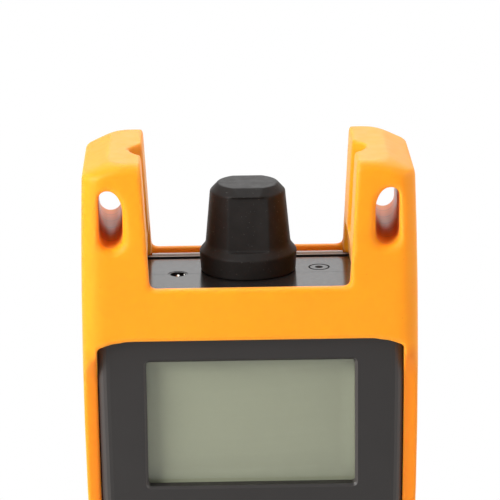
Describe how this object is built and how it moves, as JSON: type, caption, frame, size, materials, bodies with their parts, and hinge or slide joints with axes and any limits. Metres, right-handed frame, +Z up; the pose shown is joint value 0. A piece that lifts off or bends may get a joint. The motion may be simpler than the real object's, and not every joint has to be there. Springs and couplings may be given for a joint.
{
  "type": "handheld optical light source",
  "caption": "Handheld optical light source in a moulded rubber boot with two slotted horns, display window, keypad, capped optical port and power inlet.",
  "frame": {"origin": "middle of the boot's bottom face, where it stands", "axes": "+X to the right seen from the front, +Y from the front to the back, +Z up to the horns"},
  "size_m": [0.08, 0.04, 0.175],
  "materials": {
    "boot_rubber": "satin moulded rubber",
    "shell_plastic": "fine textured ABS",
    "window_clear": "clear moulded window",
    "lcd_glass": "reflective display glass",
    "light_guide": "white light guide",
    "frame_plastic": "moulded plastic",
    "strip_silicone": "layered silicone strip",
    "mat_silicone": "silicone",
    "key_plastic": "satin key caps",
    "power_key_plastic": "satin key cap",
    "dome_metal": "gold plated",
    "board_laminate": "solder mask over glass laminate",
    "chip_plastic": "moulded packages",
    "port_metal": "nickel plated brass",
    "ceramic": "polished zirconia",
    "block_metal": "machined",
    "diode_metal": "gold plated can",
    "cap_rubber": "matte moulded rubber",
    "inlet_plastic": "moulded socket",
    "contact_metal": "nickel plated spring metal",
    "cell_sleeve": "printed shrink sleeve",
    "screw_steel": "zinc plated steel"
  },
  "bodies": {
    "base": {"rubber_boot": "boot_rubber", "front_housing": "shell_plastic", "rear_housing": "shell_plastic", "display_lens": "window_clear", "lcd_panel": "lcd_glass", "lcd_backlight": "light_guide", "lcd_holder": "frame_plastic", "elastomer_strips": "strip_silicone", "keypad_mat": "mat_silicone", "switch_domes": "dome_metal", "main_pcb": "board_laminate", "circuit_components": "chip_plastic", "port_adapter": "port_metal", "ceramic_sleeve": "ceramic", "ferrule_stub": "ceramic", "optical_block": "block_metal", "laser_diode_short": "diode_metal", "laser_diode_long": "diode_metal", "laser_diode_visible": "diode_metal", "dc_jack_body": "inlet_plastic", "dc_jack_pin": "contact_metal", "dc_jack_contact": "contact_metal", "battery_cell_a": "cell_sleeve", "battery_cell_b": "cell_sleeve", "battery_cell_c": "cell_sleeve", "contact_plates": "contact_metal", "contact_springs": "contact_metal", "housing_screws": "screw_steel", "pcb_screws": "screw_steel", "port_screws": "screw_steel"},
    "key_wavelength_body": {"key_wavelength": "key_plastic"},
    "key_modulation_body": {"key_modulation": "key_plastic"},
    "key_backlight_body": {"key_backlight": "key_plastic"},
    "key_visible_body": {"key_visible": "key_plastic"},
    "key_power_body": {"key_power": "power_key_plastic"},
    "dust_cap_body": {"dust_cap": "cap_rubber"},
    "battery_door_body": {"battery_door": "shell_plastic"}
  },
  "joints": [
    {"name": "cap_lift", "type": "slide", "parent": "base", "child": "dust_cap_body", "axis": [0, 0, 1], "range_m": [0, 0.06]},
    {"name": "door_swing", "type": "hinge", "parent": "base", "child": "battery_door_body", "pos_m": [0, 0.0168, 0.01515], "axis": [-1, 0, 0], "range_deg": [0, 65]},
    {"name": "key_wavelength_press", "type": "slide", "parent": "base", "child": "key_wavelength_body", "axis": [0, 1, 0], "range_m": [0, 0.001], "stiffness_N_per_m": 1500},
    {"name": "key_modulation_press", "type": "slide", "parent": "base", "child": "key_modulation_body", "axis": [0, 1, 0], "range_m": [0, 0.001], "stiffness_N_per_m": 1500},
    {"name": "key_backlight_press", "type": "slide", "parent": "base", "child": "key_backlight_body", "axis": [0, 1, 0], "range_m": [0, 0.001], "stiffness_N_per_m": 1500},
    {"name": "key_visible_press", "type": "slide", "parent": "base", "child": "key_visible_body", "axis": [0, 1, 0], "range_m": [0, 0.001], "stiffness_N_per_m": 1500},
    {"name": "key_power_press", "type": "slide", "parent": "base", "child": "key_power_body", "axis": [0, 1, 0], "range_m": [0, 0.001], "stiffness_N_per_m": 1500}
  ]
}
